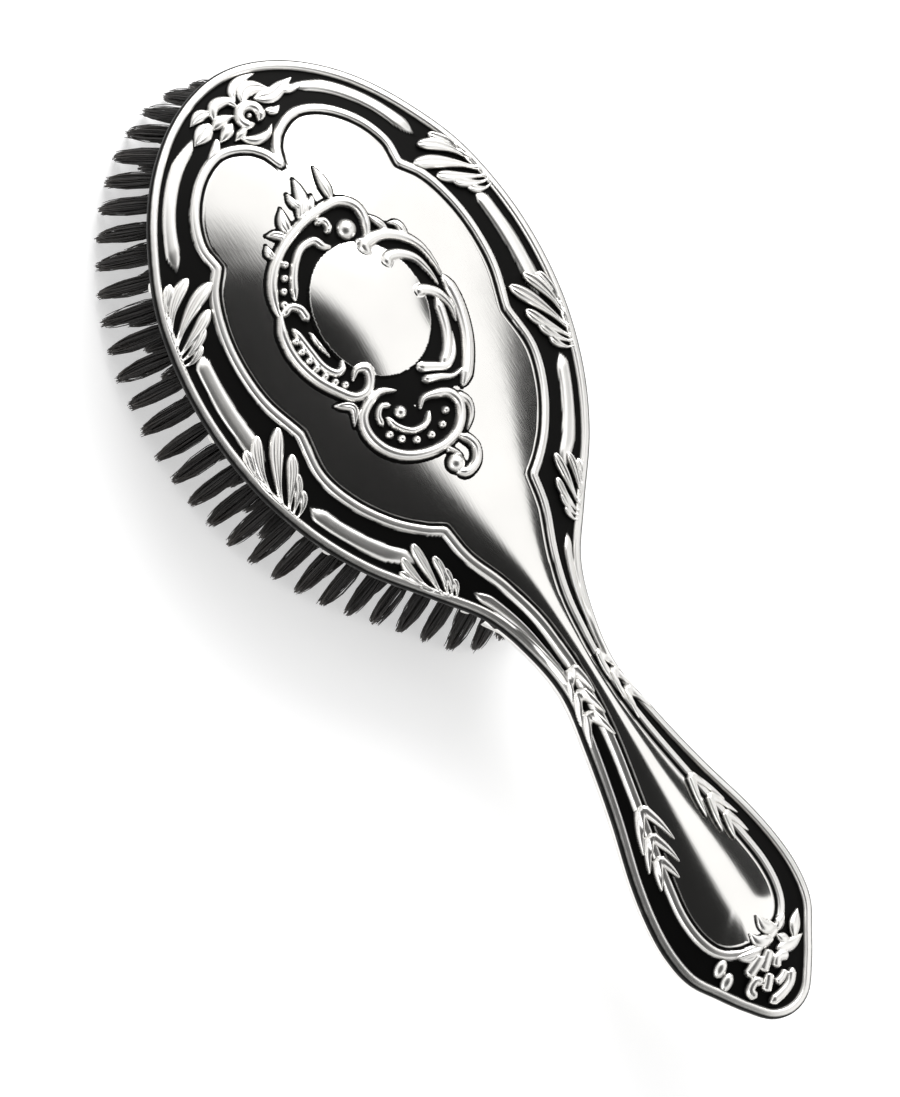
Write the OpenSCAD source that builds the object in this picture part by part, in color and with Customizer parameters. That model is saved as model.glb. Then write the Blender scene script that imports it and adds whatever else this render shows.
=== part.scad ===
// Vanity hairbrush with a die-struck silver back, a hollow silver handle and a
// wooden board of hand-drawn bristle tufts. Millimetres. +X runs from the head to
// the handle's tip, +Z is the ornamented back, and the bristle tips stand on z = 0.

/* [Silver body] */
// Length of the silver body, head to handle tip
body_len = 235; // [200:1:260]
// Greatest width of the head
head_w = 88.6; // [80:0.2:96]
// Greatest width of the handle
handle_w = 37.6; // [34:0.2:42]
// Height of the dome's crown above the sheet's lower edge
dome_rise = 6.8; // [5:0.1:9]
// Height of the handle's back above the seam
handle_rise = 5.8; // [4.5:0.1:7]
// Depth of the handle's front half below the seam
handle_depth = 5.6; // [4:0.1:6.4]
// Thickness of the struck silver sheet
sheet_t = 0.8; // [0.6:0.05:1]

/* [Bristles] */
// Free length of the bristles, measured down from the board
bristle_len = 24; // [18:0.5:30]
// Distance between tufts along a row
tuft_pitch = 5.3; // [5:0.1:7]
// Distance between the inner rows
row_pitch = 6; // [5.6:0.1:6.4]
// Diameter of a drilled tuft hole
hole_d = 2.5; // [2:0.1:2.8]
// Diameter that a tuft opens out to at the board
tuft_d = 3; // [2.6:0.1:3.4]
// How much each tuft widens per millimetre of length
tuft_flare = 0.028; // [0:0.002:0.04]
// Sideways lean of the outermost tufts, as a slope
side_lean = 0.28; // [0:0.02:0.45]
// Lean of the tufts at the head's tip, as a slope
tip_lean = 0.41; // [0:0.02:0.5]

/* [Board] */
// Thickness of the bristle board
board_t = 3.9; // [3.4:0.1:3.9]
// Thickness of the veneer glued over the drawing wires
veneer_t = 0.4; // [0.3:0.1:0.4]
// Diameter of the drawing wire
wire_d = 0.5; // [0.4:0.05:0.5]
// Pins through each side of the rim band
side_pins = 5; // [3:1:8]

/* [Hidden] */
ROWS = 11;

$fn = 32;
silver = "silver";
wood = "burlywood";
bristle = [0.16, 0.13, 0.11];
// gap between pieces that touch in the real brush
gap = 0.05;

// ---- levels ----
face_z = bristle_len;
seam_z = face_z + 4.4;
board_top = face_z + board_t;
wire_z = board_top + wire_d / 2 + gap;
veneer_z = board_top + wire_d + 2 * gap;
cement_z = veneer_z + veneer_t + gap;

// ---- outline: half widths at distances from the head's tip ----
// Knots follow the side of the body from the head's tip to the handle's tip; the
// first and last stand on the axis, where the outline turns round.
su = body_len / 235;
sh = head_w / 88.6;
sg = handle_w / 37.6;
side_knots = [
  [0, 0], [1.6, 9 * sh], [6.4, 18.3 * sh], [14.6, 27.4 * sh], [26, 35.2 * sh],
  [40, 41.4 * sh], [58, 44.3 * sh], [76, 43.2 * sh], [92, 38.6 * sh], [106, 31.2 * sh],
  [118.7, 20.9 * sh], [128.5, 13.2 * sh], [139, 9.2 * sg], [151, 7.3 * sg],
  [164, 9.4 * sg], [178.4, 12.7 * sg], [192, 16.6 * sg], [202, 18.5 * sg], [210, 18.8 * sg],
  [217, 17.4 * sg], [223, 13.6 * sg], [228.6, 9.6 * sg], [233.4, 5.2 * sg], [235, 0]
];
KN = len(side_knots) - 1;
function knot(i) =
  let (k = i < 0 ? [side_knots[-i].x, -side_knots[-i].y]
         : i > KN ? [side_knots[2 * KN - i].x, -side_knots[2 * KN - i].y] : side_knots[i])
  [k.x * su, k.y];
// Catmull-Rom curve through the knots, t from 0 to KN
function side_at(t) =
  let (i = min(floor(t), KN - 1), f = t - i,
       a = knot(i - 1), b = knot(i), c = knot(i + 1), d = knot(i + 2))
  0.5 * (2 * b + f * (c - a) + f * f * (2 * a - 5 * b + 4 * c - d)
         + f * f * f * (3 * b - a - 3 * c + d));

PER_KNOT = 3;
side_n = KN * PER_KNOT;
half_loop = [for (i = [0 : side_n]) side_at(i / PER_KNOT)];
// the whole outline, anticlockwise seen from the back, as [distance from tip, y]
body_loop = mirrored(half_loop);

// ---- head loop: the outline closed across the neck by an arc ----
close_u = 112 * su;
close_r = 21 * sh;
neck_knot = 11;
head_side = [for (p = half_loop) if (p.x < side_knots[neck_knot].x * su) p];
close_a = asin(side_knots[neck_knot].y / close_r);
close_steps = 8;
close_arc = [for (i = [0 : close_steps])
  let (a = close_a * (1 - i / close_steps)) [close_u + close_r * cos(a), close_r * sin(a)]];
head_loop = mirrored(concat(head_side, close_arc));

// ---- geometry helpers ----
function unit(v) = v / norm(v);
function wrap(i, n) = (i + n) % n;
// inward normal of an anticlockwise loop at point i
function inward(loop, i) =
  let (n = len(loop), t = unit(loop[wrap(i + 1, n)] - loop[wrap(i - 1, n)])) [-t.y, t.x];
function inset(loop, d) = [for (i = [0 : len(loop) - 1]) loop[i] + d * inward(loop, i)];
// a loop from its half on the +y side, which runs from one axis point to the other
function mirrored(half) = let (n = len(half)) concat(
  [for (p = half) [p.x, -p.y]], [for (i = [1 : n - 2]) half[n - 1 - i]]);
function smooth(x) = let (c = min(max(x, 0), 1)) c * c * (3 - 2 * c);
// the point on the axis that a rib from the outline runs towards
rib_from = 40 * su;
rib_to = 208 * su;
function spine(p, low = rib_from) = [min(max(p.x, low), rib_to), 0];
// solid between two stacks of rings that share one rim; each stack ends on a thin slot
function ring_faces(m, n, base, flip) = [
  for (k = [0 : m - 2]) for (i = [0 : n - 1])
    let (j = wrap(i + 1, n), a = base + k * n + i, b = base + k * n + j,
         c = base + (k + 1) * n + j, d = base + (k + 1) * n + i)
    flip ? [a, d, c, b] : [a, b, c, d]
];
function slot_faces(m, n, base, flip) = [
  for (i = [0 : n / 2 - 1])
    let (r = base + (m - 1) * n, a = r + i, b = r + i + 1, c = r + wrap(n - i - 1, n), d = r + wrap(n - i, n))
    (i == 0) ? (flip ? [a, c, b] : [a, b, c])
    : (i == n / 2 - 1) ? (flip ? [a, d, b] : [a, b, d])
    : (flip ? [a, d, c, b] : [a, b, c, d])
];
function rim_faces(n, a0, b0, flip) = [
  for (i = [0 : n - 1]) let (j = wrap(i + 1, n))
    flip ? [a0 + i, a0 + j, b0 + j, b0 + i] : [a0 + i, b0 + i, b0 + j, a0 + j]
];
module bowl(upper, lower) {
  n = len(upper[0]);
  mu = len(upper);
  ml = len(lower);
  pts = concat([for (r = upper) each r], [for (r = lower) each r]);
  polyhedron(pts, concat(
    ring_faces(mu, n, 0, true), slot_faces(mu, n, 0, true),
    ring_faces(ml, n, mu * n, false), slot_faces(ml, n, mu * n, false),
    rim_faces(n, 0, mu * n, true)));
}

// tube of radius r, or a list of radii, along a path of 3-D points
function tube_ring(path, i, r, sides, closed) =
  let (n = len(path),
       a = path[closed ? wrap(i - 1, n) : max(i - 1, 0)],
       b = path[closed ? wrap(i + 1, n) : min(i + 1, n - 1)],
       t = unit(b - a), side = unit(cross([0, 0, 1], t)), up = cross(t, side))
  [for (k = [0 : sides - 1]) let (q = 360 * k / sides) path[i] + r * (cos(q) * side + sin(q) * up)];
module tube(path, r, sides = 8, closed = false) {
  n = len(path);
  radius = is_list(r) ? r : [for (i = [0 : n - 1]) r];
  pts = [for (i = [0 : n - 1]) each tube_ring(path, i, radius[i], sides, closed)];
  last = closed ? n - 1 : n - 2;
  walls = [for (i = [0 : last]) for (k = [0 : sides - 1])
    let (j = wrap(i + 1, n), m = wrap(k + 1, sides))
    [i * sides + k, j * sides + k, j * sides + m, i * sides + m]];
  ends = closed ? [] : [[for (k = [0 : sides - 1]) k],
                        [for (k = [sides - 1 : -1 : 0]) (n - 1) * sides + k]];
  polyhedron(pts, concat(walls, ends));
}

// ---- silver surfaces ----
// height of the back's crown line above the seam
function crown(x) =
  let (k = smooth((x - 95 * su) / (45 * su)), tip = smooth((x - 205 * su) / (30 * su)))
  dome_rise * (1 - k) + handle_rise * k - 0.5 * tip;
border_w = 12;
// inset and height above the seam of the struck border, from the lower edge inwards
border_outer = [[0.5, 0], [0, 0.9], [0.3, 1.9], [1.2, 2.3], [2.6, 1.5],
                [4.6, 1.6], [5.6, 2.4], [6.6, 1.7], [10, 1.8], [11, 2.7], [border_w, 2.2]];
border_inner = [[1.4, 0], [1.5, 0.6], [6.6, 0.8], [border_w, 1.3]];
dome_steps = 6;
slot_f = 0.94;
function arch(q) = sin(90 * min(max(q, 0), 1));
function rib_depth(loop, i, aim) = (aim - loop[i]) * inward(loop, i);
// an inset across the border, drawn in where the body is narrow
lip_w = 1.5;
function drawn_in(d, depth) =
  d <= lip_w ? d : lip_w + (d - lip_w) * min(1, (0.45 * depth - lip_w) / (border_w - lip_w));
// rings of a struck surface over the whole body: the border, then the dome up to the spine
function struck_rings(loop, border, drop) = concat(
  [for (b = border) [for (i = [0 : len(loop) - 1])
    let (aim = spine(loop[i]), depth = rib_depth(loop, i, aim),
         p = loop[i] + (aim - loop[i]) * drawn_in(b.x, depth) / depth)
    [p.x, p.y, seam_z + b.y]]],
  [for (k = [1 : dome_steps]) [for (i = [0 : len(loop) - 1])
    let (aim = spine(loop[i]), depth = rib_depth(loop, i, aim),
         f0 = drawn_in(border_w, depth) / depth, q = k / dome_steps,
         p = loop[i] + (aim - loop[i]) * (f0 + (slot_f - f0) * q), edge = border[len(border) - 1].y)
    [p.x, p.y, seam_z + edge + (crown(aim.x) - drop - edge) * arch(q)]]]
);

module back_shell() {
  color(silver) place()
    bowl(struck_rings(body_loop, border_outer, 0), struck_rings(body_loop, border_inner, sheet_t));
}

// ---- front half of the handle: a struck tray that closes against the rim band ----
tray_gap = 0.15;
tray_arc_n = 6;
tray_loop = mirrored(concat(
  [for (i = [0 : tray_arc_n])
    let (a = close_a * i / tray_arc_n, r = close_r + tray_gap) [close_u + r * cos(a), r * sin(a)]],
  [for (p = half_loop) if (p.x > (side_knots[neck_knot].x + 0.5) * su) p]));
tray_from = 142 * su;
tray_steps = 7;
wall_power = 0.4;
side_power = 0.85;
function tray_depth(x) =
  let (k = smooth((x - 150 * su) / (45 * su)), tip = smooth((x - 200 * su) / (35 * su)))
  (seam_z - face_z) * (1 - k) + handle_depth * k - 0.8 * tip;
function tray_rings(start, drop) = concat(
  [[for (i = [0 : len(tray_loop) - 1]) let (p = tray_loop[i] + start * inward(tray_loop, i)) [p.x, p.y, seam_z]]],
  [for (k = [0 : tray_steps]) [for (i = [0 : len(tray_loop) - 1])
    let (n = len(tray_loop), aim = spine(tray_loop[i], tray_from),
         f0 = (start - 0.3) / rib_depth(tray_loop, i, aim), a = 90 * k / tray_steps,
         power = (i <= tray_arc_n || i >= n - tray_arc_n) ? wall_power : side_power,
         p = tray_loop[i] + (aim - tray_loop[i]) * (f0 + (slot_f - f0) * (1 - pow(cos(a), power))),
         low = tray_depth(aim.x) - drop)
    [p.x, p.y, seam_z - 0.7 - (low - 0.7) * pow(sin(a), power)]]]
);

module handle_front_shell() {
  color(silver) place()
    bowl(tray_rings(0.5 + sheet_t, sheet_t), tray_rings(0.5, 0));
}

// ---- rim band: a moulded silver strip round the board's edge ----
band_section = [[2.3, 0], [1.5, 1.3], [1, 2.8], [0.7, seam_z - face_z - gap],
                [3.1, seam_z - face_z - gap], [3.1, 0]];
board_inset = 3.15;
pin_z = face_z + 2.1;
pin_r = 0.6;
pin_play = 0.02;
module rim_band() {
  n = len(head_loop);
  m = len(band_section);
  rings = [for (s = band_section) [for (p = inset(head_loop, s.x)) [p.x, p.y, face_z + s.y]]];
  faces = [for (k = [0 : m - 1]) for (i = [0 : n - 1])
    [k * n + i, k * n + wrap(i + 1, n), wrap(k + 1, m) * n + wrap(i + 1, n), wrap(k + 1, m) * n + i]];
  color(silver) place() difference() {
    polyhedron([for (r = rings) each r], [for (f = faces) [f[3], f[2], f[1], f[0]]]);
    at_pins() cylinder(h = 12, r = pin_r + pin_play, center = true);
  }
}

// ---- places of the tufts ----
border_inset = 5.3;
border_path = inset(head_loop, border_inset);
function run_lengths(path, i = 0, sum = 0, out = []) =
  i >= len(path) ? concat(out, [sum])
  : run_lengths(path, i + 1, sum + norm(path[wrap(i + 1, len(path))] - path[i]), concat(out, [sum]));
border_runs = run_lengths(border_path);
border_total = border_runs[len(border_path)];
border_n = 2 * floor(border_total / tuft_pitch / 2);
// point at a distance along the closed border path
function along(s) =
  let (n = len(border_path), i = max([for (k = [0 : n - 1]) if (border_runs[k] <= s + 1e-9) k]),
       a = border_path[i], b = border_path[wrap(i + 1, n)])
  a + (b - a) * (s - border_runs[i]) / (border_runs[i + 1] - border_runs[i]);
border_spots = [for (i = [0 : border_n - 1]) along(i * border_total / border_n)];

// inner rows run along the board, kept clear of the border row
row_loop = inset(head_loop, border_inset + 4.9);
function crossings(y) = let (n = len(row_loop)) [for (i = [0 : n - 1])
  let (a = row_loop[i], b = row_loop[wrap(i + 1, n)]) if ((a.y <= y) != (b.y <= y))
  a.x + (b.x - a.x) * (y - a.y) / (b.y - a.y)];
function row_y(k) = (k - (ROWS + 1) / 2) * row_pitch;
function row_spots(k) =
  let (y = row_y(k), c = crossings(y + 1e-4), x0 = min(c), x1 = max(c),
       n = max(floor((x1 - x0) / tuft_pitch), 1), step = (x1 - x0) / n)
  [for (i = [0 : n]) [x0 + i * step, y]];

// outward lean of a tuft, as slopes along x and y
lean_from = 62 * su;
lean_side = 39 * sh;
function lean(p) =
  [(p.x - lean_from) / lean_from * (p.x < lean_from ? tip_lean : side_lean), p.y / lean_side * side_lean];

// ---- the origin stands under the middle of the whole brush ----
tip_spot = border_spots[0];
tip_tilt = atan(norm(lean(tip_spot)));
tip_flare = atan(tuft_flare);
tip_edge_x = tip_spot.x - tuft_d / 2 / cos(tip_tilt);
tip_x = tip_edge_x - bristle_len * tan(tip_tilt + tip_flare);
x_mid = (body_len + tip_x) / 2;
module place() {
  translate([-x_mid, 0, 0]) children();
}

// turns +Z down along the tuft that stands at a spot on the board's face
module at_tuft(p) {
  slope = lean(p);
  translate([p.x, p.y, face_z])
    rotate([0, 180 - atan(norm(slope)), atan2(slope.y, slope.x)]) children();
}
// play between a tuft's root and its hole
hole_clear = 0.05;
root_len = board_t - 0.9;
module tuft(p) {
  tilt = atan(norm(lean(p)));
  start = tuft_d / 2 * tan(tilt) + 0.02;
  reach = (bristle_len + 8) / cos(tilt);
  intersection() {
    at_tuft(p) {
      translate([0, 0, -root_len / cos(tilt)])
        cylinder(h = root_len / cos(tilt) + start + 0.5, r = hole_d / 2 - hole_clear);
      translate([0, 0, start])
        cylinder(h = reach, r1 = tuft_d / 2, r2 = tuft_d / 2 + tuft_flare * reach);
    }
    translate([p.x - 40, p.y - 40, 0]) cube([80, 80, face_z + board_t]);
  }
}
module tufts(spots) {
  color(bristle) place() for (p = spots) tuft(p);
}
module tuft_border() {
  tufts(border_spots);
}
module tuft_row(k) {
  tufts(row_spots(k));
}

// ---- pins, halfway between two tufts of the border row ----
// each pin runs inwards through the band into the board
pin_step = border_n / 2 / side_pins;
pin_marks = [for (i = [0 : side_pins - 1]) floor(pin_step * (i + 0.5)) + 0.5];
module at_pins() {
  for (m = pin_marks) for (side = [1, -1]) {
    s = m * border_total / border_n;
    p = along(s);
    step = along(s + 0.2) - along(s - 0.2);
    outward = atan2(-step.x, step.y);
    translate([p.x, p.y * side, pin_z]) rotate([0, 90, outward * side]) children();
  }
}
// distance of a pin's head and of its point from the border row
pin_outer = border_inset - 0.85;
pin_inner = 1.2;
pin_head = 0.35;
module rim_pins() {
  color(silver) place() at_pins() {
    translate([0, 0, -pin_inner]) cylinder(h = pin_outer + pin_inner, r = pin_r);
    translate([0, 0, pin_outer - pin_head]) cylinder(h = pin_head, r = 1);
  }
}

// ---- board, veneer and drawing wires ----
module bristle_board() {
  color(wood) place() difference() {
    translate([0, 0, face_z]) linear_extrude(board_t) polygon(inset(head_loop, board_inset));
    for (p = border_spots) at_tuft(p) cylinder(h = 3 * board_t, r = hole_d / 2, center = true);
    for (k = [1 : ROWS]) for (p = row_spots(k))
      at_tuft(p) cylinder(h = 3 * board_t, r = hole_d / 2, center = true);
    at_pins() cylinder(h = 5, r = pin_r + pin_play, center = true);
  }
}
module backing_veneer() {
  color(wood) place() translate([0, 0, veneer_z])
    linear_extrude(veneer_t) polygon(inset(head_loop, board_inset + 0.1));
}
// where the root of a tuft meets its wire, at the board's back
function root_top(p) = p - lean(p) * board_t;
loop_h = 0.8;
module wire_loop(p) {
  q = root_top(p);
  translate([q.x, q.y, board_top - loop_h]) cylinder(h = loop_h + gap + wire_d / 2, r = wire_d / 2, $fn = 16);
}
module draw_wire(k) {
  spots = [for (p = row_spots(k)) root_top(p)];
  first = spots[0];
  last = spots[len(spots) - 1];
  color("gold") place() {
    translate([first.x - 1, first.y, wire_z]) rotate([0, 90, 0])
      cylinder(h = last.x - first.x + 2, r = wire_d / 2, $fn = 16);
    for (p = row_spots(k)) wire_loop(p);
  }
}
module draw_wire_border() {
  color("gold") place() {
    tube([for (p = border_spots) [root_top(p).x, root_top(p).y, wire_z]], wire_d / 2, 8, true);
  }
}

// ---- cement and tang ----
cement_border = [[2.9, 0.62], [6.6, 0.72], [10, 0.92], [border_w, 1.2]];
tang_w = 5;
tang_t = 1.2;
tang_from = 104 * su;
tang_to = 182 * su;
// the tang lies in a groove in the back cement's flat underside
module tang_bar(play) {
  translate([tang_from - play, -tang_w / 2 - play, cement_z - 10 * play])
    cube([tang_to - tang_from + 2 * play, tang_w + 2 * play, tang_t + 11 * play]);
}
function flat_rings(loop, first, low, z) = [for (f = [first, slot_f]) [for (i = [0 : len(loop) - 1])
  let (aim = spine(loop[i], low), depth = rib_depth(loop, i, aim),
       p = loop[i] + (aim - loop[i]) * (f == first ? drawn_in(first, depth) / depth : f))
  [p.x, p.y, z]]];
module back_cement() {
  color([0.25, 0.18, 0.14]) place() difference() {
    bowl(struck_rings(body_loop, cement_border, sheet_t + gap),
         flat_rings(body_loop, cement_border[0].x, rib_from, cement_z));
    tang_bar(gap);
  }
}
module handle_cement() {
  inner = tray_rings(0.5 + sheet_t + gap, sheet_t + gap);
  rim = [for (p = inner[0]) [p.x, p.y, cement_z - gap]];
  slot = [for (p = inner[len(inner) - 1]) [p.x, p.y, cement_z - gap]];
  color([0.25, 0.18, 0.14]) place() bowl([rim, slot], inner);
}
module neck_tang() {
  color("slategray") place() tang_bar(0);
}

// ---- applied cartouche on the dome ----
width_table = [for (p = half_loop) [p.x, p.y]];
function half_at(x) = lookup(x, width_table);
// height of the struck back over a point of the head, away from its rim
function dome_z(p) =
  let (x = max(p.x, rib_from), w = half_at(x), slope = (half_at(x + 1) - half_at(x - 1)) / 2,
       depth = w / sqrt(1 + slope * slope), f0 = border_w / depth,
       f = 1 - norm([p.y / w, (x - p.x) / rib_from]), edge = border_outer[len(border_outer) - 1].y)
  seam_z + edge + (crown(x) - edge) * arch((f - f0) / (slot_f - f0));
oval_c = [60 * su, 0];
oval_r = [20.5 * su, 16.6 * sh];
function oval(a, k = 1) = [oval_c.x + k * oval_r.x * cos(a), oval_c.y + k * oval_r.y * sin(a)];
function on_dome(p, lift) = [p.x, p.y, dome_z(p) + lift];
function scroll(c, r0, r1, a0, a1, steps) = [for (i = [0 : steps])
  let (f = i / steps, a = a0 + (a1 - a0) * f, r = r0 + (r1 - r0) * f) c + r * [cos(a), sin(a)]];
module moulding(path, r, closed = false) {
  tube([for (p = path) on_dome(p, 0.35)], r, 8, closed);
}
module cartouche_frame() {
  oval_steps = 48;
  ring = [for (i = [0 : oval_steps - 1]) oval(360 * i / oval_steps)];
  lower = scroll([84 * su, -4.6], 9, 7.5, -60, 200, 18);
  volute = scroll([95 * su, 0], 3.4, 1.4, -150, 190, 12);
  leaf = [[36 * su, 2], [32 * su, 3], [27.6 * su, 5.6]];
  color(silver) place() {
    moulding(ring, 1.7, true);
    moulding(lower, [for (i = [0 : 18]) 1.3 - 0.6 * abs(i - 9) / 9]);
    moulding(volute, [for (i = [0 : 12]) 1.2 - 0.05 * i]);
    moulding([for (p = leaf) p], [1.6, 1.4, 0.4]);
    moulding([for (p = leaf) [p.x + 1, p.y - 7]], [1.5, 1.2, 0.4]);
  }
}

back_shell();
handle_front_shell();
rim_band();
rim_pins();
cartouche_frame();
back_cement();
handle_cement();
neck_tang();
bristle_board();
backing_veneer();
tuft_border();
tuft_row(1);  // tuft_row_01
tuft_row(2);  // tuft_row_02
tuft_row(3);  // tuft_row_03
tuft_row(4);  // tuft_row_04
tuft_row(5);  // tuft_row_05
tuft_row(6);  // tuft_row_06
tuft_row(7);  // tuft_row_07
tuft_row(8);  // tuft_row_08
tuft_row(9);  // tuft_row_09
tuft_row(10);  // tuft_row_10
tuft_row(11);  // tuft_row_11
draw_wire_border();
draw_wire(1);  // draw_wire_01
draw_wire(2);  // draw_wire_02
draw_wire(3);  // draw_wire_03
draw_wire(4);  // draw_wire_04
draw_wire(5);  // draw_wire_05
draw_wire(6);  // draw_wire_06
draw_wire(7);  // draw_wire_07
draw_wire(8);  // draw_wire_08
draw_wire(9);  // draw_wire_09
draw_wire(10);  // draw_wire_10
draw_wire(11);  // draw_wire_11
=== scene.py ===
"""A silver-backed vanity hairbrush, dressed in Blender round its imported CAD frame.

Lengths in this script are millimetres, in the brush's own measures: u runs along the brush
from the head's tip, v across it, and heights stand above the seam where the silver back ends.
"""
import math

import bpy
import numpy as np
from mathutils import Matrix, Vector


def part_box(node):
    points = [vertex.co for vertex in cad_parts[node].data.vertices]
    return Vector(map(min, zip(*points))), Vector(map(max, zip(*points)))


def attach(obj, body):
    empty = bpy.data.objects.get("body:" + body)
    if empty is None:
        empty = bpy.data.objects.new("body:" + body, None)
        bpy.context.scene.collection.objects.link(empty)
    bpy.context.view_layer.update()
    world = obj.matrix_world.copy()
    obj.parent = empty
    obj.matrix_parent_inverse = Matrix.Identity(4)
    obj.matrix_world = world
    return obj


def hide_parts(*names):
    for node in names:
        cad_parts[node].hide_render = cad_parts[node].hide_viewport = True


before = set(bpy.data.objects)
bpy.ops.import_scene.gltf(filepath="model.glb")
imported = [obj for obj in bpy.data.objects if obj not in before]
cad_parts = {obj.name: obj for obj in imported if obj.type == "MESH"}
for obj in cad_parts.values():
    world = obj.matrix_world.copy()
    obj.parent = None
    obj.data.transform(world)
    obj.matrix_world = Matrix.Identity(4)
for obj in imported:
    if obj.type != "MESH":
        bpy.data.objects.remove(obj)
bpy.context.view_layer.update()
MM = 0.001
rng = np.random.default_rng(11)

# ---- measures from the frame ----
SHELL_LO, SHELL_HI = (np.array(p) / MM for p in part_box("back_shell"))
TIP_X = SHELL_LO[0]
SEAM_Z = SHELL_LO[2]
# height of the bristle board's face, where the bristles come out
FACE_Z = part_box("bristle_board")[0][2] / MM
LENGTH = SHELL_HI[0] - SHELL_LO[0]
HALF_W = SHELL_HI[1]
HEAD_RISE = SHELL_HI[2] - SEAM_Z
HANDLE_RISE = HEAD_RISE - 1.0

# half widths of the body at distances from the head's tip, mirrored past both ends
SIDE_KNOTS = np.array([
    (0, 0), (1.6, 9), (6.4, 18.3), (14.6, 27.4), (26, 35.2), (40, 41.4), (58, 44.3), (76, 43.2),
    (92, 38.6), (106, 31.2), (118.7, 20.9), (128.5, 13.2), (139, 9.2), (151, 7.3), (164, 9.4),
    (178.4, 12.7), (192, 16.6), (202, 18.5), (210, 18.8), (217, 17.4), (223, 13.6), (228.6, 9.6),
    (233.4, 5.2), (235, 0)], float)
SIDE_KNOTS[:, 0] *= LENGTH / SIDE_KNOTS[-1, 0]
SIDE_KNOTS[:, 1] *= HALF_W / SIDE_KNOTS[:, 1].max()


# ---- curves in the plane ----
def spline(padded, steps):
    """Catmull-Rom curve through all but the first and last point, in a number of steps between each two."""
    out = []
    for a, b, c, d in zip(padded, padded[1:], padded[2:], padded[3:]):
        for f in np.arange(steps) / steps:
            out.append(0.5 * (2 * b + f * (c - a) + f * f * (2 * a - 5 * b + 4 * c - d)
                              + f ** 3 * (3 * b - a - 3 * c + d)))
    out.append(padded[-2])
    return np.array(out)


def catmull(points, steps):
    """Smooth open curve through points. Two points give a straight line."""
    p = np.asarray(points, float)
    if len(p) < 3:
        return np.array([p[0] + (p[-1] - p[0]) * t for t in np.linspace(0, 1, steps + 1)])
    return spline(np.vstack([2 * p[0] - p[1], p, 2 * p[-1] - p[-2]]), steps)


def arc_lengths(path):
    """Distance along a path to each of its points."""
    return np.concatenate([[0], np.cumsum(np.hypot(*np.diff(path, axis=0).T))])


def resample(path, count):
    """The same path with a count of points, evenly spaced along it."""
    run = arc_lengths(path)
    at = np.linspace(0, run[-1], count)
    return np.stack([np.interp(at, run, column) for column in path.T], 1)


def at_places(path, places):
    """Points of a path at places counted in its own points, whole or not."""
    return np.stack([np.interp(places, np.arange(len(path)), column) for column in path.T], -1)


def path_distance(u, v, path):
    """Distance from points to a path, and the nearest place along it from 0 to 1."""
    a, b = path[:-1], path[1:]
    d = b - a
    n2 = np.maximum((d ** 2).sum(1), 1e-12)
    run = np.concatenate([[0], np.cumsum(np.sqrt(n2))])
    best, place = np.full(u.shape, 1e9), np.zeros(u.shape)
    for k, (au, av, du, dv) in enumerate(np.hstack([a, d])):
        t = np.clip(((u - au) * du + (v - av) * dv) / n2[k], 0, 1)
        q = np.hypot(u - au - t * du, v - av - t * dv)
        near = q < best
        best = np.where(near, q, best)
        place = np.where(near, (run[k] + t * (run[k + 1] - run[k])) / run[-1], place)
    return best, place


def smooth(x):
    """0 below 0, 1 above 1, and an S-curve between."""
    x = np.clip(x, 0, 1)
    return x * x * (3 - 2 * x)


def bump(x, centre, half):
    """A rounded ridge of height 1, at a place and with a half width."""
    q = np.clip(np.abs(x - centre) / half, 0, 1)
    return np.sqrt(1 - q ** 3)


# the outline from the head's tip to the handle's tip, along the +v side
MIRROR = np.array([1, -1])
OUTLINE = spline(np.vstack([SIDE_KNOTS[1] * MIRROR, SIDE_KNOTS, SIDE_KNOTS[-2] * MIRROR]), 24)
SPARSE_OUTLINE = resample(OUTLINE, 260)
# centres of the two fans of ribs that close the dome at the head and at the handle's end
HEAD_C = 45.0
TAIL = OUTLINE[OUTLINE[:, 0] > LENGTH * 0.7]
TAIL_C = TAIL[TAIL[:, 1].argmax(), 0]
# where the head's fan gives way to straight ribs, from its centre: the start, the length and the end
BLEND_FROM = -12
BLEND_LENGTH = 30
FAN_END = 20
# how far past its centre the head's fan looks for the outline
FAN_PAST = 22


def fan_share(u, v, centre, facing, past=0.0):
    """How far a point lies from a fan's centre, as a share of the way to the outline."""
    side = OUTLINE[(OUTLINE[:, 0] - centre) * facing >= -past]
    angle = np.arctan2(side[:, 1], (side[:, 0] - centre) * facing)
    reach = np.hypot(side[:, 1], side[:, 0] - centre)
    order = angle.argsort()
    a = np.arctan2(np.abs(v), (u - centre) * facing)
    return np.hypot(u - centre, v) / np.interp(a, angle[order], reach[order])


def inward_share(u, v):
    """0 on the outline, 1 on the axis between the two fan centres."""
    across = np.abs(v) / np.interp(u, OUTLINE[:, 0], np.maximum(OUTLINE[:, 1], 0.05))
    head = fan_share(u, v, HEAD_C, -1, FAN_PAST)
    tail = fan_share(u, v, TAIL_C, 1)
    k = smooth((u - HEAD_C - BLEND_FROM) / BLEND_LENGTH)
    body = np.where(u > TAIL_C, tail, across)
    return 1 - np.where(u < HEAD_C + FAN_END, head * (1 - k) + across * k, body)


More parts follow.
